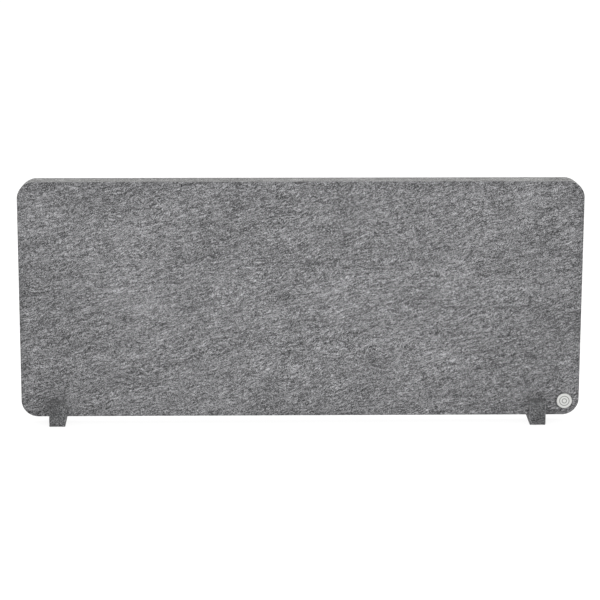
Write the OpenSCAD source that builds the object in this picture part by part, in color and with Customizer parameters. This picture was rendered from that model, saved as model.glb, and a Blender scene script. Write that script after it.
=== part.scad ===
// Desk privacy panel: a felt-covered sound-absorbing slab that stands on two felt feet.
// Each foot is a U that grips the panel's lower edge and slides along it.
// +X runs along the panel, -Y is its front, +Z is up. The origin is on the desk, under the middle.
// All sizes are in millimetres.

/* [Panel] */
// Width of the panel
panel_w = 1400; // [1200:10:1800]
// Height of the panel without its feet
panel_h = 600; // [400:10:800]
// Thickness of the panel over both felt faces
panel_t = 54; // [44:1:70]
// Radius of the four outer corners
corner_r = 42; // [30:1:60]
// Thickness of the face felt and of the edge felt
felt_t = 6; // [4:0.5:8]

/* [Frame] */
// Height of a rail and width of a stile
rail_w = 45; // [40:1:60]
// Side of a square corner block
block_w = 90; // [80:1:110]
// Play around each absorber slab
absorber_gap = 1; // [0.5:0.5:3]

/* [Joinery] */
// Diameter of a beech dowel
dowel_d = 8; // [6:1:10]
// Length of a dowel
dowel_l = 40; // [30:2:50]
// Distance between the two dowels of a joint
dowel_pitch = 22; // [20:1:24]
// Shank diameter of a centre post screw
screw_d = 4.5; // [4:0.5:5]
// Length of a centre post screw
screw_l = 80; // [60:5:100]
// Distance between the two screws of a post end
screw_pitch = 20; // [16:1:24]

/* [Feet] */
// Width of a foot along the panel
foot_w = 41; // [36:1:50]
// Height of the panel's lower edge above the desk
foot_base = 22; // [21:1:30]
// Height of a foot's walls above the panel's lower edge
foot_grip = 43; // [40:1:60]
// Thickness of a foot's wall
foot_wall = 23; // [18:1:28]
// Place of the left foot's middle
left_foot_x = -610; // [-630:1:-500]
// Place of the right foot's middle
right_foot_x = 595; // [500:1:620]
// Play between the panel and a foot's liners
slot_play = 0.4; // [0.3:0.1:0.8]

/* [Foot insides] */
// Thickness of the steel channel
channel_t = 3; // [2:0.5:4]
// Width of the steel channel
channel_w = 34; // [30:1:36]
// Felt left above the channel's two ends
channel_cover = 6; // [4:1:10]
// Thickness of the slot liners
liner_t = 1.6; // [1:0.2:2]
// Height of the felt's underside above the desk
felt_lift = 1.2; // [0.8:0.1:2]
// Thickness of the anti-slip pads
pad_t = 2.5; // [2:0.5:4]
// Length of an anti-slip pad from front to rear
pad_l = 26; // [20:1:28]
// Thickness of the base plate above the pads
plate_t = 2; // [1.5:0.5:3]
// Diameter of a foot screw
foot_screw_d = 5; // [4:1:6]
// Distance between the two screws of a foot
foot_screw_pitch = 26; // [24:1:30]

/* [Badge] */
// Diameter of the badge
badge_d = 38; // [30:1:44]
// How far the badge stands proud of the front felt
badge_t = 2.4; // [2:0.2:4]
// Distance of the badge's centre from the panel's right and lower edges
badge_inset = 36.5; // [32:0.5:60]

/* [Hidden] */
$fn = 96;
cut = 1;                                   // how far a cutter runs past the face it cuts
frame_w = panel_w - 2 * felt_t;            // outline of the timber frame
frame_h = panel_h - 2 * felt_t;
frame_t = panel_t - 2 * felt_t;
frame_r = corner_r - felt_t;
rail_l = frame_w - 2 * block_w;
stile_l = frame_h - 2 * block_w;
mid_z = foot_base + panel_h / 2;           // height of the panel's middle
bay_w = frame_w / 2 - rail_w * 1.5;        // one bay, between the centre post and a stile
bay_h = frame_h - 2 * rail_w;
notch = block_w - rail_w;                  // how far a corner block reaches into a bay
screw_head_d = 9;
screw_head_h = 4;

slot_half = panel_t / 2 + slot_play;       // half the width of a foot's slot, between its liners
liner_half = slot_half + liner_t;
channel_half = liner_half + channel_t;
foot_half = panel_t / 2 + foot_wall;
foot_top = foot_base + foot_grip;
seat_z = foot_base - slot_play;            // top of the seat liner
channel_in_z = seat_z - liner_t;
channel_out_z = channel_in_z - channel_t;
channel_top = foot_top - channel_cover;
bend_r = 2 * channel_t;                    // outer radius of the channel's bends
plate_z = pad_t;
plate_l = 2 * (foot_half - 6);
pad_y = plate_l / 2 - pad_l / 2 - 1;
foot_head_d = 9;
foot_head_h = 1.8;

badge_x = panel_w / 2 - badge_inset;
badge_z = foot_base + badge_inset;
badge_wall = 1.6;                          // rim of the badge's cup
badge_floor = 0.8;
badge_play = 0.1;                          // around the cap, inside the rim
badge_sink = 0.4;                          // how far the cap lies below the rim
nail_d = 3;
nail_l = 22;
nail_head_d = 9;
nail_head_h = 0.6;
ring_depth = 0.4;                          // relief of the cap's plain concentric rings
ring_w = 2.2;
ring_radii = [5.6, 12];

felt_grey = [0.50, 0.50, 0.51];
foot_grey = [0.38, 0.38, 0.39];
pine = [0.80, 0.66, 0.46];
beech = [0.74, 0.56, 0.38];
wadding = [0.86, 0.87, 0.88];
steel = [0.66, 0.67, 0.69];
zinc = [0.72, 0.73, 0.74];
rubber = [0.12, 0.12, 0.13];
badge_white = [0.90, 0.91, 0.90];

// ---- shared shapes ----

// A 2D rectangle with round corners, centred on the origin.
module rounded_rect(w, h, r) {
    square([w - 2 * r, h], center = true);
    square([w, h - 2 * r], center = true);
    for (sx = [-1, 1], sy = [-1, 1])
        translate([sx * (w / 2 - r), sy * (h / 2 - r)]) circle(r);
}

// Stands a 2D shape drawn in X and Z upright, from y0 towards the rear by t.
module upright(y0, t) {
    translate([0, y0 + t, 0]) rotate([90, 0, 0]) linear_extrude(t) children();
}

// A round bar along X, or along Z, centred on its place.
module bar_x(d, l) {
    rotate([0, 90, 0]) cylinder(d = d, h = l, center = true);
}

module bar_z(d, l) {
    cylinder(d = d, h = l, center = true);
}

// ---- timber frame ----

// The dowels of the four rail ends: each joint between a rail and a block has two.
module rail_dowels(d, l) {
    for (sx = [-1, 1], sz = [-1, 1], k = [-1, 1])
        translate([sx * rail_l / 2, 0, mid_z + sz * (frame_h - rail_w) / 2 + k * dowel_pitch / 2])
            bar_x(d, l);
}

// The dowels of the four stile ends.
module stile_dowels(d, l) {
    for (sx = [-1, 1], sz = [-1, 1], k = [-1, 1])
        translate([sx * (frame_w - rail_w) / 2 + k * dowel_pitch / 2, 0, mid_z + sz * stile_l / 2])
            bar_z(d, l);
}

module frame_dowels() {
    color(beech) {
        rail_dowels(dowel_d, dowel_l);
        stile_dowels(dowel_d, dowel_l);
    }
}

// Two screws run through each rail into the centre post, with their heads sunk in the rail.
module post_screws() {
    for (side = [0, 1], k = [-1, 1])
        translate([k * screw_pitch / 2, 0, mid_z])
            mirror([0, 0, side])
                translate([0, 0, frame_h / 2]) {
                    translate([0, 0, -screw_l]) cylinder(d = screw_d, h = screw_l);
                    translate([0, 0, -screw_head_h])
                        cylinder(d1 = screw_d, d2 = screw_head_d, h = screw_head_h);
                }
}

module frame_screws() {
    color(zinc) post_screws();
}

// side is 1 for the top rail and -1 for the bottom rail.
module rail(side) {
    color(pine) difference() {
        translate([0, 0, mid_z + side * (frame_h - rail_w) / 2])
            cube([rail_l, frame_t, rail_w], center = true);
        rail_dowels(dowel_d, dowel_l);
        post_screws();
    }
}

// side is 1 for the right stile and -1 for the left stile.
module stile(side) {
    color(pine) difference() {
        translate([side * (frame_w - rail_w) / 2, 0, mid_z])
            cube([rail_w, frame_t, stile_l], center = true);
        stile_dowels(dowel_d, dowel_l);
    }
}

module centre_post() {
    color(pine) difference() {
        translate([0, 0, mid_z]) cube([rail_w, frame_t, bay_h], center = true);
        post_screws();
    }
}

// The outline of a corner block: a square whose outer corner carries the panel's round.
module block_outline() {
    square([block_w, block_w - frame_r]);
    square([block_w - frame_r, block_w]);
    translate([block_w - frame_r, block_w - frame_r]) circle(frame_r);
}

// sx and sz say which corner: 1 is right or top, -1 is left or bottom.
module corner_block(sx, sz) {
    color(pine) difference() {
        translate([sx * rail_l / 2, 0, mid_z + sz * stile_l / 2])
            mirror([sx < 0 ? 1 : 0, 0, 0]) mirror([0, 0, sz < 0 ? 1 : 0])
                upright(-frame_t / 2, frame_t) block_outline();
        rail_dowels(dowel_d, dowel_l);
        stile_dowels(dowel_d, dowel_l);
        nail_shank();
    }
}

// ---- absorber and felt ----

// side is 1 for the right bay and -1 for the left bay.
module absorber(side) {
    w = bay_w - 2 * absorber_gap;
    h = bay_h - 2 * absorber_gap;
    color(wadding) translate([side * (rail_w + bay_w) / 2, 0, mid_z])
        mirror([side < 0 ? 1 : 0, 0, 0]) upright(-frame_t / 2, frame_t)
            difference() {
                square([w, h], center = true);
                for (sz = [-1, 1]) translate([w / 2, sz * h / 2])
                    square(2 * notch, center = true);
            }
}

// side is -1 for the front face and 1 for the rear face.
module face_felt(side) {
    y0 = side < 0 ? -panel_t / 2 : frame_t / 2;
    color(felt_grey) difference() {
        translate([0, 0, mid_z]) upright(y0, felt_t) rounded_rect(panel_w, panel_h, corner_r);
        nail_shank();
    }
}

module edge_felt() {
    color(felt_grey) translate([0, 0, mid_z]) upright(-frame_t / 2, frame_t)
        difference() {
            rounded_rect(panel_w, panel_h, corner_r);
            rounded_rect(frame_w, frame_h, frame_r);
        }
}

// ---- badge ----

// Puts its children on the badge's axis, with +Z pointing out of the panel's front.
module on_badge() {
    translate([badge_x, -panel_t / 2, badge_z]) rotate([90, 0, 0]) children();
}

module nail_shank() {
    on_badge() translate([0, 0, badge_floor - nail_l]) cylinder(d = nail_d, h = nail_l);
}

module badge_cup() {
    color(badge_white) on_badge() difference() {
        cylinder(d = badge_d, h = badge_t);
        translate([0, 0, badge_floor]) cylinder(d = badge_d - 2 * badge_wall, h = badge_t);
        translate([0, 0, -cut]) cylinder(d = nail_d, h = badge_floor + 2 * cut);
    }
}

// A plain disc with shallow concentric rings: it carries no mark.
module badge_cap() {
    cap_t = badge_t - badge_sink - badge_floor;
    color(badge_white) on_badge() translate([0, 0, badge_floor]) difference() {
        cylinder(d = badge_d - 2 * badge_wall - 2 * badge_play, h = cap_t);
        translate([0, 0, -cut]) cylinder(d = nail_head_d, h = nail_head_h + cut);
        for (r = ring_radii) translate([0, 0, cap_t - ring_depth]) difference() {
            cylinder(r = r + ring_w / 2, h = ring_depth + cut);
            translate([0, 0, -cut]) cylinder(r = r - ring_w / 2, h = ring_depth + 3 * cut);
        }
    }
}

module badge_nail() {
    color(zinc) {
        nail_shank();
        on_badge() translate([0, 0, badge_floor]) cylinder(d = nail_head_d, h = nail_head_h);
    }
}

// ---- feet ----

// Extrudes a foot's cross-section, drawn in Y and Z, along X to the width w.
module across(w) {
    rotate([90, 0, 90]) translate([0, 0, -w / 2]) linear_extrude(w) children();
}

// The steel channel's outline without its slot: straight walls with two round lower bends.
module channel_outline(half, z0, r) {
    translate([-half, z0 + r]) square([2 * half, channel_top - z0 - r]);
    translate([-half + r, z0]) square([2 * (half - r), r + cut]);
    for (s = [-1, 1]) translate([s * (half - r), z0 + r]) circle(r);
}

// Two countersunk screws hold the base plate, the felt and the channel together.
module foot_screw_shapes() {
    for (s = [-1, 1]) translate([0, s * foot_screw_pitch / 2, plate_z]) {
        cylinder(d = foot_screw_d, h = channel_in_z - plate_z);
        cylinder(d1 = foot_head_d, d2 = foot_screw_d, h = foot_head_h);
    }
}

module foot_felt() {
    color(foot_grey) difference() {
        across(foot_w) difference() {
            translate([-foot_half, felt_lift]) square([2 * foot_half, foot_top - felt_lift]);
            translate([-slot_half, seat_z]) square([2 * slot_half, foot_grip + slot_play + cut]);
        }
        across(channel_w) channel_outline(channel_half, channel_out_z, bend_r);
        translate([0, 0, plate_z + plate_t - 5]) cube([channel_w, plate_l, 10], center = true);
        foot_screw_shapes();
    }
}

module foot_channel() {
    color(steel) difference() {
        across(channel_w) difference() {
            channel_outline(channel_half, channel_out_z, bend_r);
            channel_outline(liner_half, channel_in_z, bend_r - channel_t);
            translate([-liner_half, channel_top - cut]) square([2 * liner_half, 2 * cut]);
        }
        foot_screw_shapes();
    }
}

module foot_base_plate() {
    color(steel) difference() {
        translate([0, 0, plate_z + plate_t / 2]) cube([channel_w, plate_l, plate_t], center = true);
        foot_screw_shapes();
    }
}

module foot_screws() {
    color(zinc) foot_screw_shapes();
}

// side is -1 for the front wall and 1 for the rear wall.
module foot_wall_liner(side) {
    bottom = channel_in_z + bend_r - channel_t;
    color(rubber) translate([0, side * (slot_half + liner_t / 2), (bottom + channel_top) / 2])
        cube([channel_w, liner_t, channel_top - bottom], center = true);
}

module foot_seat_liner() {
    seat_half = liner_half - (bend_r - channel_t);
    color(rubber) translate([0, 0, channel_in_z + liner_t / 2])
        cube([channel_w, 2 * seat_half, liner_t], center = true);
}

module foot_pad(side) {
    color(rubber) translate([0, side * pad_y, pad_t / 2])
        cube([channel_w, pad_l, pad_t], center = true);
}

module left() {
    translate([left_foot_x, 0, 0]) children();
}

module right() {
    translate([right_foot_x, 0, 0]) children();
}

// ---- nodes ----

rail(1);  // top_rail
rail(-1);  // bottom_rail
stile(-1);  // left_stile
stile(1);  // right_stile
centre_post();
corner_block(-1, 1);  // top_left_block
corner_block(1, 1);  // top_right_block
corner_block(-1, -1);  // bottom_left_block
corner_block(1, -1);  // bottom_right_block
absorber(-1);  // left_absorber
absorber(1);  // right_absorber
frame_dowels();
frame_screws();
face_felt(-1);  // front_felt
face_felt(1);  // rear_felt
edge_felt();
badge_cup();
badge_cap();
badge_nail();
left() foot_felt();  // left_foot_felt
left() foot_channel();  // left_foot_channel
left() foot_base_plate();  // left_foot_base_plate
left() foot_screws();  // left_foot_screws
left() foot_wall_liner(-1);  // left_foot_front_liner
left() foot_wall_liner(1);  // left_foot_rear_liner
left() foot_seat_liner();  // left_foot_seat_liner
left() foot_pad(-1);  // left_foot_front_pad
left() foot_pad(1);  // left_foot_rear_pad
right() foot_felt();  // right_foot_felt
right() foot_channel();  // right_foot_channel
right() foot_base_plate();  // right_foot_base_plate
right() foot_screws();  // right_foot_screws
right() foot_wall_liner(-1);  // right_foot_front_liner
right() foot_wall_liner(1);  // right_foot_rear_liner
right() foot_seat_liner();  // right_foot_seat_liner
right() foot_pad(-1);  // right_foot_front_pad
right() foot_pad(1);  // right_foot_rear_pad
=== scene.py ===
"""Looks for the desk privacy panel: felt, timber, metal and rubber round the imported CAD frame.

All sizes are in metres, in the frame of the CAD model.
"""

import math

import bmesh
import bpy
import numpy as np
from mathutils import Euler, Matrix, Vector, noise


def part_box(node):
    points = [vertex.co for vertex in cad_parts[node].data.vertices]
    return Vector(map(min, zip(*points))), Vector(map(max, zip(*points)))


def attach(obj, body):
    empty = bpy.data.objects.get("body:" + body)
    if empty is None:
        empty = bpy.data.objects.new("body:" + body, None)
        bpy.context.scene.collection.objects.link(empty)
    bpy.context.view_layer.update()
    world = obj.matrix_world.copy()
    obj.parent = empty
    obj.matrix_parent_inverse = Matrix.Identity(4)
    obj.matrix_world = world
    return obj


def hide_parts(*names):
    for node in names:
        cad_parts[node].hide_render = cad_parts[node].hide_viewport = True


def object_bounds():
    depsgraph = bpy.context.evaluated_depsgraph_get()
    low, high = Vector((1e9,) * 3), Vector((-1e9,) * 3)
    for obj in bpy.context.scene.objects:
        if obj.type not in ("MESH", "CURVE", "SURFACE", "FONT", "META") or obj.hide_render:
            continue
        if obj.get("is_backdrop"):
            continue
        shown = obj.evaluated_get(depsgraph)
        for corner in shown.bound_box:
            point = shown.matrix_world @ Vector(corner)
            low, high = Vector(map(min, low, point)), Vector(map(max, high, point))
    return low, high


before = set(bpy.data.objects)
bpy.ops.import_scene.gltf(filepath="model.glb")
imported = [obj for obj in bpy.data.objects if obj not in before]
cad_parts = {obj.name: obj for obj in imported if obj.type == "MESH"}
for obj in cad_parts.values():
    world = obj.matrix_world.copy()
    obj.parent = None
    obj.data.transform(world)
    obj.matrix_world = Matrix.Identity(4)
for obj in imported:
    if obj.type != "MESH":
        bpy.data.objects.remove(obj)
cad_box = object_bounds()

MM = 0.001
FACE_LOW, FACE_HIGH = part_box("front_felt")
REAR_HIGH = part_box("rear_felt")[1]
PANEL_HALF_W = FACE_HIGH.x
PANEL_HALF_H = (FACE_HIGH.z - FACE_LOW.z) / 2
PANEL_MID_Z = (FACE_HIGH.z + FACE_LOW.z) / 2
CORNER_R = 42 * MM
FELT_T = FACE_HIGH.y - FACE_LOW.y
FELT_ARRISES = (1.6 * MM, 0.7 * MM)  # round a face felt's outer and inner side
CORNER_DRAW = 3.2 * MM              # how far the felt is pulled in at the rear of a round corner
BLOCKS = ("top_left_block", "top_right_block", "bottom_left_block", "bottom_right_block")

BADGE_LOW, BADGE_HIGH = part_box("badge_cup")
BADGE_X = (BADGE_LOW.x + BADGE_HIGH.x) / 2
BADGE_Z = (BADGE_LOW.z + BADGE_HIGH.z) / 2
BADGE_R = (BADGE_HIGH.x - BADGE_LOW.x) / 2
CUP_T = FACE_LOW.y - BADGE_LOW.y    # how far the cup stands out from the felt
CUP_FLOOR = 0.8 * MM
CAP_R = 17.3 * MM
CAP_TOP = CUP_T - 0.4 * MM
CAP_DOME = 0.2 * MM
NAIL_R = 1.5 * MM
NAIL_HEAD_R = 4.5 * MM
NAIL_HEAD_TOP = 1.4 * MM
RING_RADII = (12.0 * MM, 5.6 * MM)
RING_W = 2.2 * MM
RING_DEPTH = 0.4 * MM
TURN_STEPS = 160
DENT_DEPTH = 1.3 * MM               # the dent that the badge's rim presses into the felt
DENT_W = 2.6 * MM

GROOVE_PITCH = 4.4 * MM             # the grooves under an anti-slip pad
GROOVE_DEPTH = 0.6 * MM
GROOVE_HALF_W = 0.6 * MM
GROOVE_END = 2 * MM

# angle in degrees, length and width of the felt's fibre clumps, weight
CLUMPS = (
    (-15, 30.0 * MM, 3.1 * MM, 0.76),
    (-26, 8.5 * MM, 2.5 * MM, 1.15),
    (8, 7.5 * MM, 2.3 * MM, 0.85),
    (-62, 6.0 * MM, 2.4 * MM, 0.75),
    (52, 5.5 * MM, 2.3 * MM, 0.4),
    (-16, 24.0 * MM, 9.0 * MM, 0.34),
)
GRAIN = 1.7
GRAIN_SIZE = 1.9 * MM
SHADES_SHIFT = (1.081, 2.514, 0.531)
HAIR_ANGLES = (-15, 28, -52, 74, -84)
HAIR_SIZE = (11 * MM, 1.1 * MM, 1.1 * MM)
HAIR_LIFT = 0.30
FRAY = 0.9 * MM                     # how far single hairs pull a clump's outline
DARKEST = 0.25

# depth and size of the uneven relief of each kind of soft piece
FACE_RELIEF = ((0.22 * MM, 9 * MM), (0.18 * MM, 35 * MM))
EDGE_RELIEF = ((0.15 * MM, 8 * MM), (0.15 * MM, 40 * MM))
WADDING_RELIEF = ((1.2 * MM, 30 * MM), (0.6 * MM, 14 * MM))
FOOT_RELIEF = ((0.3 * MM, 3.0 * MM), (0.25 * MM, 11 * MM))


# ---- camera, light and floor ----


def add_camera():
    """The photograph's viewpoint: a long lens, slightly left of the middle and above the panel."""
    data = bpy.data.cameras.new("camera")
    data.sensor_width = 36
    data.lens = 159.53
    data.clip_end = 200
    camera = bpy.data.objects.new("camera", data)
    pitch, yaw, roll = (math.radians(angle) for angle in (14.416, -1.383, 0.173))
    level = Euler((math.pi / 2 - pitch, 0, yaw), "XYZ").to_matrix()
    camera.matrix_world = (level @ Euler((0, 0, roll), "XYZ").to_matrix()).to_4x4()
    camera.location = (-0.1573, -6.4295, 1.9684)
    bpy.context.scene.collection.objects.link(camera)
    bpy.context.scene.camera = camera


def add_softbox(name, place, target, width, height, power):
    """A soft rectangular light at place that faces target."""
    data = bpy.data.lights.new(name, "AREA")
    data.shape = "RECTANGLE"
    data.size = width
    data.size_y = height
    data.energy = power
    light = bpy.data.objects.new(name, data)
    light.location = place
    light.rotation_euler = (Vector(target) - Vector(place)).to_track_quat("-Z", "Y").to_euler()
    light.visible_camera = False
    bpy.context.scene.collection.objects.link(light)


def add_light():
    world = bpy.data.worlds.new("studio")
    world.use_nodes = True
    world.node_tree.nodes["Background"].inputs["Color"].default_value = (1, 1, 1, 1)
    world.node_tree.nodes["Background"].inputs["Strength"].default_value = 1.0
    bpy.context.scene.world = world
    add_softbox("overhead", place=(0, 1.4, 3.0), target=(0, 0.1, 0.6), width=4.0, height=1.4, power=68)
    add_softbox("front", place=(0, -1.2, 0.48), target=(0, 0, 0.40), width=1.2, height=0.4, power=7.8)


def add_floor():
    """A pale light table: it glows a little, so the panel's shadow on it stays faint."""
    half = 60.0
    mesh = bpy.data.meshes.new("floor")
    corners = [(x, y, -0.1 * MM) for x, y in ((-half, -half), (half, -half), (half, half), (-half, half))]
    mesh.from_pydata(corners, [], [(0, 1, 2, 3)])
    floor = bpy.data.objects.new("floor", mesh)
    bpy.context.scene.collection.objects.link(floor)
    graph = Graph("pale_floor")
    graph.set("Base Color", (0.16, 0.16, 0.16, 1))
    graph.set("Roughness", 0.9)
    graph.set("Specular IOR Level", 0.0)
    graph.set("Emission Color", (1, 1, 1, 1))
    graph.set("Emission Strength", 0.90)
    floor.data.materials.append(graph.material)
    floor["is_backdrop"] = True


# ---- node materials ----


class Graph:
    """A material's node tree round one Principled shader."""

    def __init__(self, name):
        self.material = bpy.data.materials.new(name)
        self.material.use_nodes = True
        self.tree = self.material.node_tree
        self.tree.nodes.clear()
        self.shader = self.add("ShaderNodeBsdfPrincipled")
        output = self.add("ShaderNodeOutputMaterial")
        self.tree.links.new(self.shader.outputs[0], output.inputs["Surface"])
        self.place = self.add("ShaderNodeTexCoord").outputs["Object"]

    def add(self, kind, **settings):
        node = self.tree.nodes.new(kind)
        for key, value in settings.items():
            setattr(node, key, value)
        return node

    def feed(self, socket, value):
        """Gives a socket a link or a plain value."""
        if isinstance(value, bpy.types.NodeSocket):
            self.tree.links.new(value, socket)
        else:
            socket.default_value = value

    def set(self, name, value):
        self.feed(self.shader.inputs[name], value)

    def math(self, operation, *values, clamp=False):
        node = self.add("ShaderNodeMath", operation=operation, use_clamp=clamp)
        for socket, value in zip(node.inputs, values):
            self.feed(socket, value)
        return node.outputs[0]

    def vector(self, operation, a, b):
        node = self.add("ShaderNodeVectorMath", operation=operation)
        self.feed(node.inputs[0], a)
        self.feed(node.inputs[1], b)
        return node.outputs[0]

    def parts(self, vector):
        """The X, Y and Z parts of a vector."""
        node = self.add("ShaderNodeSeparateXYZ")
        self.feed(node.inputs[0], vector)
        return node.outputs

    def length(self, vector):
        node = self.add("ShaderNodeVectorMath", operation="LENGTH")
        self.feed(node.inputs[0], vector)
        return node.outputs["Value"]

    def mapped(self, vector, size, turn=(0, 0, 0), shift=(0, 0, 0)):
        """Coordinates in which one unit is size along each turned axis."""
        node = self.add("ShaderNodeMapping", vector_type="TEXTURE")
        self.feed(node.inputs["Vector"], vector)
        node.inputs["Scale"].default_value = size
        node.inputs["Rotation"].default_value = [math.radians(angle) for angle in turn]
        node.inputs["Location"].default_value = shift
        return node.outputs[0]

    def noise(self, vector, detail=2.0, roughness=0.5, output="Fac"):
        node = self.add("ShaderNodeTexNoise")
        self.feed(node.inputs["Vector"], vector)
        node.inputs["Scale"].default_value = 1.0
        node.inputs["Detail"].default_value = detail
        node.inputs["Roughness"].default_value = roughness
        return node.outputs[output]

    def warped(self, vector, size, amount):
        """Coordinates that wander along X and Z by about amount over distances of about size."""
        cloud = self.noise(self.mapped(vector, (size,) * 3), 1.0, output="Color")
        centred = self.vector("SUBTRACT", cloud, (0.5, 0.5, 0.5))
        return self.vector("ADD", vector, self.vector("MULTIPLY", centred, (amount, 0, amount)))

    def weighted(self, layers):
        """The sum of weight times (value minus a half) over the layers."""
        total = 0.0
        for weight, value in layers:
            centred = self.math("SUBTRACT", value, 0.5)
            total = self.math("MULTIPLY_ADD", centred, weight, total)
        return total

    def ramp(self, value, stops):
        """Colours, or greys, at places from 0 to 1."""
        node = self.add("ShaderNodeValToRGB")
        self.feed(node.inputs["Fac"], value)
        elements = node.color_ramp.elements
        while len(elements) < len(stops):
            elements.new(0.5)
        for element, (at, colour) in zip(elements, stops):
            element.position = at
            element.color = (*colour, 1) if isinstance(colour, tuple) else (colour,) * 3 + (1,)
        return node.outputs["Color"]

    def band(self, value, low, high, out_low=0.0, out_high=1.0):
        """Maps low..high to out_low..out_high smoothly, and stays level outside."""
        node = self.add("ShaderNodeMapRange", interpolation_type="SMOOTHSTEP")
        self.feed(node.inputs["Value"], value)
        for socket, number in zip(node.inputs[1:5], (low, high, out_low, out_high)):
            socket.default_value = number
        return node.outputs[0]

    def tinted(self, value, colour):
        """colour times a grey value."""
        return self.vector("MULTIPLY", value, colour)

    def mix(self, share, a, b):
        node = self.add("ShaderNodeMix", data_type="RGBA")
        self.feed(node.inputs["Factor"], share)
        self.feed(node.inputs[6], a)
        self.feed(node.inputs[7], b)
        return node.outputs[2]

    def kept_above(self, value, low):
        """value, but it bends off softly before it falls below low."""
        node = self.add("ShaderNodeMath", operation="SMOOTH_MAX")
        for socket, number in zip(node.inputs, (value, low, 0.35)):
            self.feed(socket, number)
        return node.outputs[0]

    def bump(self, height, distance, strength=1.0):
        node = self.add("ShaderNodeBump")
        node.inputs["Distance"].default_value = distance
        node.inputs["Strength"].default_value = strength
        self.feed(node.inputs["Height"], height)
        self.set("Normal", node.outputs[0])


def fibres(graph, place, scale=1.0):
    """Fine crossing hairs, from 0 between them to 1 along their middles."""
    total = 0.0
    size = [scale * length for length in HAIR_SIZE]
    for index, angle in enumerate(HAIR_ANGLES):
        shift = (0.13 * index, 0.07 * index, 0.11 * index)
        run = graph.mapped(place, size, (0, angle, 8 * index), shift)
        ridge = graph.math("ABSOLUTE", graph.math("SUBTRACT", graph.noise(run, 0.0), 0.5))
        hair = graph.band(ridge, 0.0, 0.045, 1.0, 0.0)
        total = graph.math("MAXIMUM", total, hair)
    return total


def felt(
    name, tone, contrast, shades=0.0, layered=0.0, arris=0.0, rim=0.0, painted_side_shade=0.0, turn=0.0, scale=1.0
):
    """Heathered needle felt: light and dark fibre clumps that wander and fray into single hairs.

    shades adds wide soft differences and layered adds lines along the cut edge of a sheet. arris
    paints shade on the rounded corners that face down or sideways when it is below 0, and a
    highlight there when it is above 0. rim paints shade on the faces near the panel's outline, and
    the setting for sides paints shade on the sides that face along X. turn and scale change the
    clumps' direction and size.
    """
    graph = Graph(name)
    place = graph.warped(graph.warped(graph.place, 75 * MM, 30 * MM), 16 * MM, 5 * MM)
    light_hairs = fibres(graph, place)
    dark_hairs = fibres(graph, graph.vector("ADD", place, (0.4, 0.2, 0.3)), 1.2)
    lift = graph.math("SUBTRACT", light_hairs, dark_hairs)
    frayed = graph.vector("ADD", place, graph.vector("MULTIPLY", lift, (FRAY, FRAY, FRAY)))
    layers = []
    for index, (angle, length, width, weight) in enumerate(CLUMPS):
        shift = (0.31 * index, 0.17 * index, 0.23 * index)
        size = (length * scale, width * scale, width * scale)
        run = graph.mapped(frayed, size, (0, angle + turn, 0), shift)
        layers.append((weight, graph.noise(run, 3.0, 0.6)))
    layers.append((GRAIN, graph.noise(graph.mapped(frayed, (GRAIN_SIZE,) * 3), 1.0)))
    if shades:
        wide = graph.mapped(graph.place, (190 * MM, 100 * MM, 100 * MM), (0, -6, 0), SHADES_SHIFT)
        layers.append((shades, graph.noise(wide, 3.0, 0.6)))
    if layered:
        sheets = graph.mapped(graph.place, (40 * MM, 3.0 * MM, 40 * MM))
        layers.append((layered, graph.noise(sheets, 2.0)))
    heather = graph.weighted(layers)
    level = graph.math("MULTIPLY_ADD", heather, contrast, 1.0)
    # Painted shade (arris below 0) and painted highlights (arris above 0) on the rounded corners that
    # face down or sideways.
    if arris:
        level = graph.math("MULTIPLY_ADD", arris_shade_highlight_share(graph), arris, level)
    # Painted shade on the sides that face along X.
    if painted_side_shade:
        side = graph.math("ABSOLUTE", direction_parts(graph)[0])
        level = graph.math("MULTIPLY_ADD", graph.band(side, 0.85, 0.98), painted_side_shade, level)
    # Painted shade near the panel's outline.
    if rim:
        level = graph.math("MULTIPLY_ADD", rim_shade_share(graph), rim, level)
    level = graph.kept_above(level, DARKEST)
    level = graph.math("MULTIPLY_ADD", lift, HAIR_LIFT, level)
    graph.set("Base Color", graph.tinted(graph.math("MAXIMUM", level, 0.05), tone))
    graph.set("Roughness", 0.92)
    graph.set("Specular IOR Level", 0.12)
    graph.set("Sheen Weight", 0.12)
    graph.set("Sheen Roughness", 0.5)
    graph.bump(graph.math("MULTIPLY_ADD", lift, 0.3, heather), 0.5 * MM, 0.6)
    return graph.material


def rim_shade_share(graph):
    """Where shade is painted near the outline: 0 on the panel's faces, rising to 1 at their outline."""
    middle = graph.vector("SUBTRACT", graph.place, (0, 0, PANEL_MID_Z))
    size = graph.vector("ABSOLUTE", middle, (0, 0, 0))
    past = graph.vector("SUBTRACT", size, (PANEL_HALF_W - CORNER_R, 0, PANEL_HALF_H - CORNER_R))
    flat = graph.vector("MULTIPLY", graph.vector("MAXIMUM", past, (0, 0, 0)), (1, 0, 1))
    return graph.band(graph.length(flat), CORNER_R - 30 * MM, CORNER_R)


def direction_parts(graph):
    """The X, Y and Z parts of the direction that the surface faces."""
    return graph.parts(graph.add("ShaderNodeTexCoord").outputs["Normal"])


def arris_shade_highlight_share(graph):
    """Where arris shade and highlights are painted: 1 on the middle of a piece's rounded corners and 0 on
    its flats and its upper corners.
    """
    parts = direction_parts(graph)
    sizes = [graph.math("ABSOLUTE", part) for part in parts]
    largest = graph.math("MAXIMUM", graph.math("MAXIMUM", sizes[0], sizes[1]), sizes[2])
    corner = graph.band(largest, 0.84, 0.99, 1.0, 0.0)
    return graph.math("MULTIPLY", corner, graph.band(parts[2], 0.0, 0.4, 1.0, 0.0))


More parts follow.
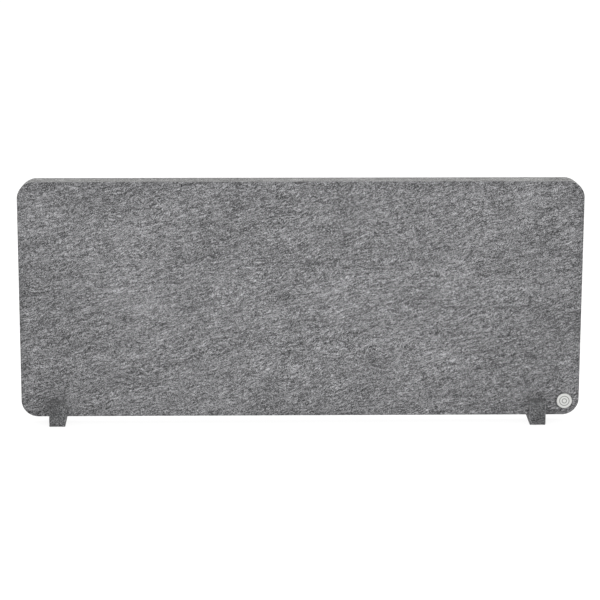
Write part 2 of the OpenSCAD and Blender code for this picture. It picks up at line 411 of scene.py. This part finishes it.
def timber(name, along, early, late, size=18 * MM):
    """Planed wood with growth rings along an axis: 0 is X and 2 is Z."""
    graph = Graph(name)
    ring_size = [size] * 3
    ring_size[along] = 0.9
    rings = graph.noise(graph.mapped(graph.warped(graph.place, 0.16, 9 * MM), ring_size), 1.0)
    wave = graph.math("FRACT", graph.math("MULTIPLY", rings, 9.0))
    grain_size = [0.5 * MM] * 3
    grain_size[along] = 22 * MM
    grain = graph.noise(graph.mapped(graph.place, grain_size), 2.0)
    rise = graph.ramp(wave, ((0.0, 0.0), (0.62, 0.25), (0.9, 1.0), (1.0, 0.0)))
    share = graph.math("MULTIPLY_ADD", graph.math("SUBTRACT", grain, 0.5), 0.5, rise, clamp=True)
    graph.set("Base Color", graph.mix(share, (*early, 1), (*late, 1)))
    graph.set("Roughness", graph.band(grain, 0.2, 0.8, 0.55, 0.72))
    graph.bump(graph.math("MULTIPLY_ADD", grain, 0.6, rise), 0.25 * MM, 0.5)
    return graph.material


def wadding():
    """Lofted polyester: pale tangled fibres with soft hollows."""
    graph = Graph("wadding")
    place = graph.warped(graph.place, 22 * MM, 9 * MM)
    hollows = graph.noise(graph.mapped(place, (17 * MM, 17 * MM, 12 * MM)), 3.0)
    hairs = fibres(graph, place)
    level = graph.weighted(((0.45, hollows), (0.16, hairs)))
    graph.set("Base Color", graph.tinted(graph.math("ADD", level, 0.98), (0.72, 0.73, 0.74)))
    graph.set("Roughness", 0.95)
    graph.set("Sheen Weight", 0.3)
    graph.set("Specular IOR Level", 0.2)
    graph.bump(graph.math("MULTIPLY_ADD", hairs, 0.3, hollows), 1.5 * MM, 0.7)
    return graph.material


def brushed_steel():
    """Satin mill-finished steel, with rolling lines along the foot's depth."""
    graph = Graph("brushed_steel")
    lines = graph.noise(graph.mapped(graph.place, (0.35 * MM, 30 * MM, 30 * MM)), 3.0, 0.6)
    stains = graph.noise(graph.mapped(graph.place, (14 * MM,) * 3), 3.0)
    level = graph.math("ADD", graph.weighted(((0.35, lines), (0.3, stains))), 1.0)
    graph.set("Base Color", graph.tinted(level, (0.46, 0.465, 0.475)))
    graph.set("Metallic", 1.0)
    graph.set("Roughness", graph.band(lines, 0.2, 0.8, 0.28, 0.44))
    graph.set("Anisotropic", 0.4)
    graph.bump(lines, 0.05 * MM, 0.5)
    return graph.material


def zinc_plate():
    """Pale zinc plating with a faint mottle and dull spots."""
    graph = Graph("zinc_plate")
    flakes = graph.add("ShaderNodeTexVoronoi")
    graph.feed(flakes.inputs["Vector"], graph.mapped(graph.place, (1.6 * MM,) * 3))
    flakes.inputs["Scale"].default_value = 1.0
    cloud = graph.noise(graph.mapped(graph.place, (3 * MM,) * 3), 3.0)
    level = graph.weighted(((0.12, flakes.outputs["Distance"]), (0.3, cloud)))
    graph.set("Base Color", graph.tinted(graph.math("ADD", level, 1.0), (0.56, 0.575, 0.60)))
    graph.set("Metallic", 1.0)
    graph.set("Roughness", graph.band(cloud, 0.3, 0.7, 0.26, 0.46))
    graph.bump(cloud, 0.04 * MM, 0.6)
    return graph.material


def rubber():
    """Matte black rubber with a fine moulded grain and a little dust."""
    graph = Graph("rubber")
    grain = graph.noise(graph.mapped(graph.place, (0.5 * MM,) * 3), 2.0)
    dust = graph.noise(graph.mapped(graph.place, (6 * MM,) * 3), 4.0, 0.65)
    share = graph.band(dust, 0.52, 0.75, 0.0, 0.3)
    graph.set("Base Color", graph.mix(share, (0.018, 0.018, 0.019, 1), (0.09, 0.088, 0.085, 1)))
    graph.set("Roughness", graph.band(grain, 0.3, 0.7, 0.72, 0.9))
    graph.bump(grain, 0.12 * MM, 0.6)
    return graph.material


def badge_satin(name, tone, print_tone=None):
    """Satin off-white plastic with a fine grain, and printed rings if print_tone is given."""
    graph = Graph(name)
    grain = graph.noise(graph.mapped(graph.place, (0.25 * MM,) * 3), 2.0)
    cloud = graph.noise(graph.mapped(graph.place, (7 * MM,) * 3), 3.0)
    level = graph.math("ADD", graph.weighted(((0.05, grain), (0.07, cloud))), 1.0)
    colour = graph.tinted(level, tone)
    if print_tone:
        from_axis = graph.vector("SUBTRACT", graph.place, (BADGE_X, 0, BADGE_Z))
        radius = graph.length(graph.vector("MULTIPLY", from_axis, (1, 0, 1)))
        share = 0.0
        for ring in RING_RADII:
            off = graph.math("ABSOLUTE", graph.math("SUBTRACT", radius, ring))
            inked = graph.band(off, RING_W / 2 - 0.12 * MM, RING_W / 2 + 0.12 * MM, 1.0, 0.0)
            share = graph.math("MAXIMUM", share, inked)
        colour = graph.mix(share, colour, (*print_tone, 1))
    graph.set("Base Color", colour)
    graph.set("Roughness", graph.band(cloud, 0.3, 0.7, 0.30, 0.42))
    graph.set("Coat Weight", 0.15)
    graph.set("Coat Roughness", 0.2)
    graph.bump(grain, 0.03 * MM, 0.5)
    return graph.material


# ---- mesh helpers ----


def new_piece(name, points, faces, material):
    mesh = bpy.data.meshes.new(name)
    mesh.from_pydata([tuple(point) for point in points], [], faces)
    mesh.validate()
    mesh.materials.append(material)
    mesh.polygons.foreach_set("use_smooth", [True] * len(mesh.polygons))
    piece = bpy.data.objects.new(name, mesh)
    bpy.context.scene.collection.objects.link(piece)
    return piece


def face_outwards(piece):
    """Turns every face of a closed piece outwards."""
    turned_out = bmesh.new()
    turned_out.from_mesh(piece.data)
    bmesh.ops.recalc_face_normals(turned_out, faces=turned_out.faces)
    turned_out.to_mesh(piece.data)
    turned_out.free()


def clouds(points, size, seed):
    """Smooth noise at each point, about -1 to 1, with features of about size."""
    shift = Vector((seed * 13.7, seed * 7.3, seed * 3.1))
    return np.array([noise.noise(Vector(point) / size + shift) for point in points])


def vertex_values(mesh, name):
    """One row of three numbers for each vertex."""
    values = np.empty(len(mesh.vertices) * 3)
    mesh.vertices.foreach_get(name, values)
    return values.reshape(-1, 3)


def sink(piece, layers, seed, extra=None):
    """Moves the surface inwards by uneven relief, so that it never leaves its CAD solid.

    layers are (depth, size) pairs, and extra is a further depth for each vertex.
    """
    mesh = piece.data
    points = vertex_values(mesh, "co")
    normals = vertex_values(mesh, "normal")
    depth = np.zeros(len(points)) if extra is None else extra(points, normals)
    for index, (amount, size) in enumerate(layers):
        depth += amount * (0.5 + 0.5 * clouds(points, size, seed + index))
    points -= normals * depth[:, None]
    mesh.vertices.foreach_set("co", points.ravel())
    mesh.update()


# ---- face felts ----


def graded_lines(low, high, spacing):
    """Grid lines from low to high whose distance follows spacing(place)."""
    fine = np.linspace(low, high, 4001)
    middle = (fine[1:] + fine[:-1]) / 2
    travelled = np.concatenate([[0.0], np.cumsum(np.diff(fine) / spacing(middle))])
    count = max(2, round(travelled[-1]))
    return np.interp(np.linspace(0, travelled[-1], count + 1), travelled, fine)


def face_lines(half, badge_at, has_badge):
    """Grid lines across a face felt. They lie closer round the badge."""
    wide, close = 5.2 * MM, 1.8 * MM
    close_within, blend = 23 * MM, 12 * MM

    def spacing(place):
        if not has_badge:
            return np.full_like(place, wide)
        away = np.clip((np.abs(place - badge_at) - close_within) / blend, 0, 1)
        return close + (wide - close) * away

    turn = half - CORNER_R
    parts = [graded_lines(a, b, spacing) for a, b in ((-half, -turn), (-turn, turn), (turn, half))]
    return np.concatenate([parts[0], parts[1][1:], parts[2][1:]])


def inset_grid(lines, halves, corner, inset):
    """A grid's points on a rounded rectangle that is smaller all round by inset."""
    flats, shares = [], []
    for values, half in zip(np.meshgrid(*lines, indexing="ij"), halves):
        turn = half - corner
        flats.append(np.sign(values) * np.minimum(np.abs(values), turn))
        shares.append(np.clip((np.abs(values) - turn) / corner, 0, 1) * np.sign(values))
    a, b = shares
    radius = corner - inset
    across = flats[0] + radius * a * np.sqrt(1 - b * b / 2)
    up = flats[1] + radius * b * np.sqrt(1 - a * a / 2)
    return np.stack([across, up], axis=-1)


def border(columns, rows):
    """A grid's outer points, once round."""
    around = [(i, 0) for i in range(columns)]
    around += [(columns - 1, j) for j in range(1, rows)]
    around += [(i, rows - 1) for i in range(columns - 2, -1, -1)]
    around += [(0, j) for j in range(rows - 2, 0, -1)]
    return around


def rounded_plate(name, lines, halves, corner, depths, arrises, place, material):
    """A closed plate whose outline is a rounded rectangle, in an even grid of faces.

    depths and arrises are those of its outer and inner side: how deep each lies, and the radius of
    the arris round it. place(flat, depth) turns flat points into points of the model.
    """
    (outer_y, inner_y), (outer_r, inner_r) = depths, arrises
    columns, rows = (len(values) for values in lines)
    side = 1 if inner_y > outer_y else -1
    outer, inner, edge = (inset_grid(lines, halves, corner, inset) for inset in (outer_r, inner_r, 0))
    around = border(columns, rows)
    rim = np.array([edge[i, j] for i, j in around])
    outwards = np.array([edge[i, j] - outer[i, j] for i, j in around]) / outer_r

    loops = []
    for angle in np.radians((22.5, 45, 67.5, 90)):
        inset, sunk = outer_r * (1 - math.sin(angle)), outer_r * (1 - math.cos(angle))
        loops.append((inset, outer_y + side * sunk))
    loops.append((0.0, (outer_y + side * outer_r + inner_y - side * inner_r) / 2))
    for angle in np.radians((0, 30, 60)):
        inset, sunk = inner_r * (1 - math.cos(angle)), inner_r * (1 - math.sin(angle))
        loops.append((inset, inner_y - side * sunk))
    points = [place(outer.reshape(-1, 2), outer_y)]
    points += [place(rim - outwards * inset, depth) for inset, depth in loops]
    points.append(place(inner.reshape(-1, 2), inner_y))

    ring = len(around)
    inner_start = columns * rows + len(loops) * ring
    starts = [np.array([i * rows + j for i, j in around])]
    starts += [columns * rows + k * ring + np.arange(ring) for k in range(len(loops))]
    starts.append(inner_start + starts[0])
    faces = []
    for i in range(columns - 1):
        for j in range(rows - 1):
            a = i * rows + j
            quad = (a, a + rows, a + rows + 1, a + 1)
            faces.append(quad)
            faces.append(tuple(inner_start + k for k in quad)[::-1])
    for low, high in zip(starts[:-1], starts[1:]):
        for k in range(ring):
            n = (k + 1) % ring
            faces.append((int(low[k]), int(high[k]), int(high[n]), int(low[n])))
    piece = new_piece(name, np.concatenate(points), faces, material)
    face_outwards(piece)
    return piece


def face_felt(name, outer_y, inner_y, has_badge, material):
    """A felt sheet with round corners, a soft outer arris and a tight inner one."""
    halves = (PANEL_HALF_W, PANEL_HALF_H)
    centres = (BADGE_X, BADGE_Z - PANEL_MID_Z)
    lines = [face_lines(half, centre, has_badge) for half, centre in zip(halves, centres)]

    def place(flat, depth):
        level = np.full(len(flat), depth)
        return np.stack([flat[:, 0], level, flat[:, 1] + PANEL_MID_Z], axis=-1)

    depths = (outer_y, inner_y)
    return rounded_plate(name, lines, halves, CORNER_R, depths, FELT_ARRISES, place, material)


def badge_dent(points, normals):
    """Depth of the dent that the badge's rim presses into the front felt."""
    distance = np.hypot(points[:, 0] - BADGE_X, points[:, 2] - BADGE_Z)
    dent = DENT_DEPTH * np.exp(-(((distance - BADGE_R) / DENT_W) ** 2))
    return dent * (normals[:, 1] < -0.9)


def draw_corners(piece):
    """Pulls felt in round the panel's four corners, more and more towards the rear."""
    points = vertex_values(piece.data, "co")
    flat = np.stack([points[:, 0], points[:, 2] - PANEL_MID_Z], axis=-1)
    past = np.maximum(np.abs(flat) - (PANEL_HALF_W - CORNER_R, PANEL_HALF_H - CORNER_R), 0)
    radius = np.maximum(np.hypot(past[:, 0], past[:, 1]), MM)
    turn = 2 * past[:, 0] * past[:, 1] / radius ** 2
    back = np.clip((points[:, 1] - FACE_HIGH.y) / (REAR_HIGH.y - FACE_HIGH.y), 0, 1)
    outer = np.clip((radius - CORNER_R + FELT_T) / FELT_T, 0, 1)
    shift = CORNER_DRAW * turn * back * outer / radius
    points[:, (0, 2)] -= np.sign(flat) * past * shift[:, None]
    piece.data.vertices.foreach_set("co", points.ravel())
    piece.data.update()


# ---- edge felt ----


def outline(spacing):
    """Points and outward directions once round the panel, from the middle of its lower edge."""
    half_w, half_h = PANEL_HALF_W - CORNER_R, PANEL_HALF_H - CORNER_R
    corners = (
        (half_w, -half_h, -90),
        (half_w, half_h, 0),
        (-half_w, half_h, 90),
        (-half_w, -half_h, 180),
    )
    turns = []
    for x, z, start in corners:
        for angle in np.radians(np.linspace(start, start + 90, 18)):
            turns.append((x, z, math.cos(angle), math.sin(angle)))
    bottom = (0.0, -half_h, 0.0, -1.0)
    keys = [bottom, *turns, bottom]
    points, directions = [], []
    for (x0, z0, u0, v0), (x1, z1, u1, v1) in zip(keys[:-1], keys[1:]):
        p0 = np.array((x0 + CORNER_R * u0, z0 + CORNER_R * v0))
        p1 = np.array((x1 + CORNER_R * u1, z1 + CORNER_R * v1))
        count = max(1, round(np.linalg.norm(p1 - p0) / spacing))
        for k in range(count):
            points.append(p0 + (p1 - p0) * k / count)
            direction = np.array((u0, v0)) + (np.array((u1, v1)) - (u0, v0)) * k / count
            directions.append(direction / np.linalg.norm(direction))
    points.append(np.array((0.0, -half_h - CORNER_R)))
    directions.append(np.array((0.0, -1.0)))
    return np.array(points), np.array(directions)


def edge_strip(material):
    """A felt strip once round the panel, whose two ends meet in a fine seam under it."""
    low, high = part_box("edge_felt")
    rim, outwards = outline(4.2 * MM)
    seam = 0.25 * MM
    rim[0, 0] = seam
    rim[-1, 0] = -seam
    corner = 0.7 * MM
    section = []
    for y in np.linspace(low.y + corner, high.y - corner, 10):
        section.append((0.0, y))
    for angle in np.radians((30, 60)):
        section.append((corner * (1 - math.cos(angle)), high.y - corner * (1 - math.sin(angle))))
    section.append((corner, high.y))
    section.append((FELT_T / 2, high.y))
    section += [(FELT_T, y) for y in np.linspace(high.y, low.y, 6)]
    section.append((FELT_T / 2, low.y))
    section.append((corner, low.y))
    for angle in np.radians((60, 30)):
        section.append((corner * (1 - math.cos(angle)), low.y + corner * (1 - math.sin(angle))))

    points = []
    for (x, z), (u, v) in zip(rim, outwards):
        points += [(x - u * inset, y, z - v * inset + PANEL_MID_Z) for inset, y in section]
    size = len(section)
    faces = []
    for k in range(len(rim) - 1):
        for m in range(size):
            n = (m + 1) % size
            faces.append((k * size + m, k * size + n, (k + 1) * size + n, (k + 1) * size + m))
    faces.append(tuple(range(size))[::-1])
    last = (len(rim) - 1) * size
    faces.append(tuple(range(last, last + size)))
    return new_piece("edge_felt_strip", points, faces, material)


# ---- pieces made from a CAD solid's own shape ----


def evened(name, node, material, voxel, rounds):
    """A closed copy of a CAD solid in even small faces, with soft corners."""
    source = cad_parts[node]
    piece = bpy.data.objects.new(name, source.data.copy())
    bpy.context.scene.collection.objects.link(piece)
    weld = piece.modifiers.new("weld", "WELD")
    weld.merge_threshold = 0.01 * MM
    remesh = piece.modifiers.new("remesh", "REMESH")
    remesh.mode = "VOXEL"
    remesh.voxel_size = voxel
    smooth = piece.modifiers.new("smooth", "SMOOTH")
    smooth.factor = 0.5
    smooth.iterations = rounds
    bpy.context.view_layer.update()
    evaluated = piece.evaluated_get(bpy.context.evaluated_depsgraph_get())
    mesh = bpy.data.meshes.new_from_object(evaluated)
    piece.modifiers.clear()
    piece.data = mesh
    mesh.materials.clear()
    mesh.materials.append(material)
    mesh.polygons.foreach_set("use_smooth", [True] * len(mesh.polygons))
    return piece


# ---- badge ----


def arc(radius, height, size, start, stop, steps=4):
    """Profile points on an arc round (radius, height). 0 degrees points outwards and 90 forwards."""
    angles = np.radians(np.linspace(start, stop, steps + 1))
    return [(radius + size * math.cos(a), height + size * math.sin(a)) for a in angles]


def turned(name, profile, material):
    """A closed solid turned about the badge's axis. profile is (radius, height before the felt)."""
    points, faces = [], []
    for k in range(TURN_STEPS):
        angle = 2 * math.pi * k / TURN_STEPS
        for radius, height in profile:
            x = BADGE_X + radius * math.cos(angle)
            z = BADGE_Z + radius * math.sin(angle)
            points.append((x, FACE_LOW.y - height, z))
    size = len(profile)
    on_axis = profile[0][0] == 0
    for k in range(TURN_STEPS):
        after = (k + 1) % TURN_STEPS
        for m in range(size - 1 if on_axis else size):
            n = (m + 1) % size
            faces.append((k * size + m, k * size + n, after * size + n, after * size + m))
    piece = new_piece(name, points, faces, material)
    if on_axis:
        merged = bmesh.new()
        merged.from_mesh(piece.data)
        bmesh.ops.remove_doubles(merged, verts=merged.verts, dist=0.001 * MM)
        merged.to_mesh(piece.data)
        merged.free()
    return piece


def badge_cup(material):
    """A shallow cup with a rolled rim."""
    inner_r = CAP_R + 0.1 * MM
    base, rim, lip = 0.3 * MM, 0.8 * MM, 0.4 * MM
    profile = [(NAIL_R, 0.0), *arc(BADGE_R - base, base, base, -90, 0, 3)]
    profile += arc(BADGE_R - rim, CUP_T - rim, rim, 0, 90, 6)
    profile += arc(inner_r + lip, CUP_T - lip, lip, 90, 180)
    profile += [(inner_r, CUP_FLOOR), (NAIL_R, CUP_FLOOR)]
    return turned("badge_rim_cup", profile, material)


def badge_cap(material):
    """A slightly domed disc with two soft ring grooves. It carries no mark."""
    base, edge, step = 0.1 * MM, 0.3 * MM, 0.17 * MM
    profile = [(0.0, NAIL_HEAD_TOP), (NAIL_HEAD_R, NAIL_HEAD_TOP), (NAIL_HEAD_R, CUP_FLOOR)]
    profile += arc(CAP_R - base, CUP_FLOOR + base, base, -90, 0, 2)
    profile += arc(CAP_R - edge, CAP_TOP - edge, edge, 0, 90)
    for radius in np.arange(CAP_R - 0.5 * MM, 0, -step):
        height = CAP_TOP + CAP_DOME * (1 - (radius / CAP_R) ** 2)
        for ring in RING_RADII:
            share = min(1.0, abs(radius - ring) / (RING_W / 2))
            height -= RING_DEPTH * (0.5 + 0.5 * math.cos(math.pi * share)) ** 0.6
        profile.append((float(radius), height))
    profile.append((0.0, CAP_TOP + CAP_DOME))
    return turned("badge_ringed_cap", profile, material)


# ---- anti-slip pads ----


def ribbed_pad(name, node, material):
    """A moulded rubber pad with round corners and shallow grooves across its underside."""
    low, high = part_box(node)
    middle = (low + high) / 2
    halves = ((high.x - low.x) / 2, (high.y - low.y) / 2)
    cell = 0.5 * MM
    lines = [np.linspace(-half, half, round(2 * half / cell) + 1) for half in halves]

    def place(flat, depth):
        heights = np.full(len(flat), depth)
        return np.stack([flat[:, 0] + middle.x, flat[:, 1] + middle.y, heights], axis=-1)

    def grooves(points, normals):
        depth = np.zeros(len(points))
        for k in (-2, -1, 0, 1, 2):
            off = points[:, 1] - middle.y - k * GROOVE_PITCH
            depth += GROOVE_DEPTH * np.exp(-((off / GROOVE_HALF_W) ** 4))
        inside = np.clip((halves[0] - GROOVE_END - np.abs(points[:, 0] - middle.x)) / MM, 0, 1)
        return depth * inside * (normals[:, 2] < -0.9)

    depths, arrises = (low.z, high.z), (0.5 * MM, 0.3 * MM)
    pad = rounded_plate(name, lines, halves, 3 * MM, depths, arrises, place, material)
    sink(pad, (), seed=0, extra=grooves)
    return pad


# ---- assembly ----


def fit(piece, body, node, slot):
    """Makes a finished piece ride on its body in place of its CAD node."""
    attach(piece, body)
    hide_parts(node)


def paint(nodes, material):
    """Gives CAD nodes a finished material."""
    for node in nodes:
        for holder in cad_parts[node].material_slots:
            holder.material = material


def add_felts():
    """The two face felts and the edge strip, stretched over the frame."""
    # The face felt's arris and rim paint shade on its lower and side arrises and near its outline.
    face_material = felt(
        "heathered_felt", (0.1412, 0.1412, 0.1452), 4.35, shades=0.25, arris=-0.35, rim=-0.20
    )
    edge_material = felt("edge_felt", (0.1635, 0.1635, 0.1615), 3.15, shades=0.25, layered=1.0)
    front = face_felt("front_face_felt", FACE_LOW.y, FACE_HIGH.y, True, face_material)
    sink(front, FACE_RELIEF, seed=1, extra=badge_dent)
    rear = face_felt("rear_face_felt", REAR_HIGH.y, REAR_HIGH.y - FELT_T, False, face_material)
    draw_corners(rear)
    sink(rear, FACE_RELIEF, seed=4)
    edge = edge_strip(edge_material)
    draw_corners(edge)
    sink(edge, EDGE_RELIEF, seed=7)

    fit(front, "panel", "front_felt", "face_felt")
    fit(rear, "panel", "rear_felt", "face_felt")
    fit(edge, "panel", "edge_felt", "edge_felt")


def add_wadding():
    material = wadding()
    for side in ("left", "right"):
        slab = evened(f"{side}_wadding_slab", f"{side}_absorber", material, voxel=7 * MM, rounds=3)
        sink(slab, WADDING_RELIEF, seed=11)
        fit(slab, "panel", f"{side}_absorber", "wadding")


def paint_frame():
    """Timber for the frame, and zinc plating for its fasteners."""
    pine = ((0.62, 0.44, 0.25), (0.42, 0.235, 0.10))
    paint(("top_rail", "bottom_rail"), timber("pine_along_x", 0, *pine))
    paint(("left_stile", "right_stile", "centre_post", *BLOCKS), timber("pine_along_z", 2, *pine))
    paint(("frame_dowels",), timber("beech", 0, (0.52, 0.33, 0.18), (0.40, 0.23, 0.115), 6 * MM))
    paint(("frame_screws", "badge_nail", "left_foot_screws", "right_foot_screws"), zinc_plate())


def add_feet():
    """Felt shells and ribbed pads, and the finish of the metal and rubber between them."""
    # The foot felt's arris paints a highlight on its lower and side arrises, and the setting for sides
    # paints shade on its sides that face along X.
    shell_material = felt(
        "foot_felt", (0.0687, 0.0692, 0.0709), 7.6, arris=2.2, painted_side_shade=-0.45, turn=70, scale=0.62
    )
    steel = brushed_steel()
    black = rubber()
    for side, seed in (("left", 17), ("right", 23)):
        foot = f"{side}_foot"
        shell = evened(f"{foot}_shell", f"{foot}_felt", shell_material, voxel=1.1 * MM, rounds=12)
        sink(shell, FOOT_RELIEF, seed)
        fit(shell, foot, f"{foot}_felt", "foot_felt")
        paint((f"{foot}_channel", f"{foot}_base_plate"), steel)
        paint([f"{foot}_{part}_liner" for part in ("front", "rear", "seat")], black)
        for end in ("front", "rear"):
            pad = ribbed_pad(f"{side}_{end}_ribbed_pad", f"{foot}_{end}_pad", black)
            fit(pad, foot, f"{foot}_{end}_pad", "rubber")


def add_badge():
    cup = badge_cup(badge_satin("badge_rim", (0.55, 0.555, 0.54)))
    cap = badge_cap(badge_satin("badge_face", (0.53, 0.535, 0.52), (0.19, 0.195, 0.185)))
    for piece, node, slot in ((cup, "badge_cup", "badge_metal"), (cap, "badge_cap", "badge_face")):
        face_outwards(piece)
        fit(piece, "panel", node, slot)


add_camera()
add_light()
add_floor()
add_felts()
add_wadding()
paint_frame()
add_feet()
add_badge()

bpy.context.scene.view_settings.view_transform = "Standard"

shown_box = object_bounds()
[[list(corner) for corner in box] for box in (cad_box, shown_box)]
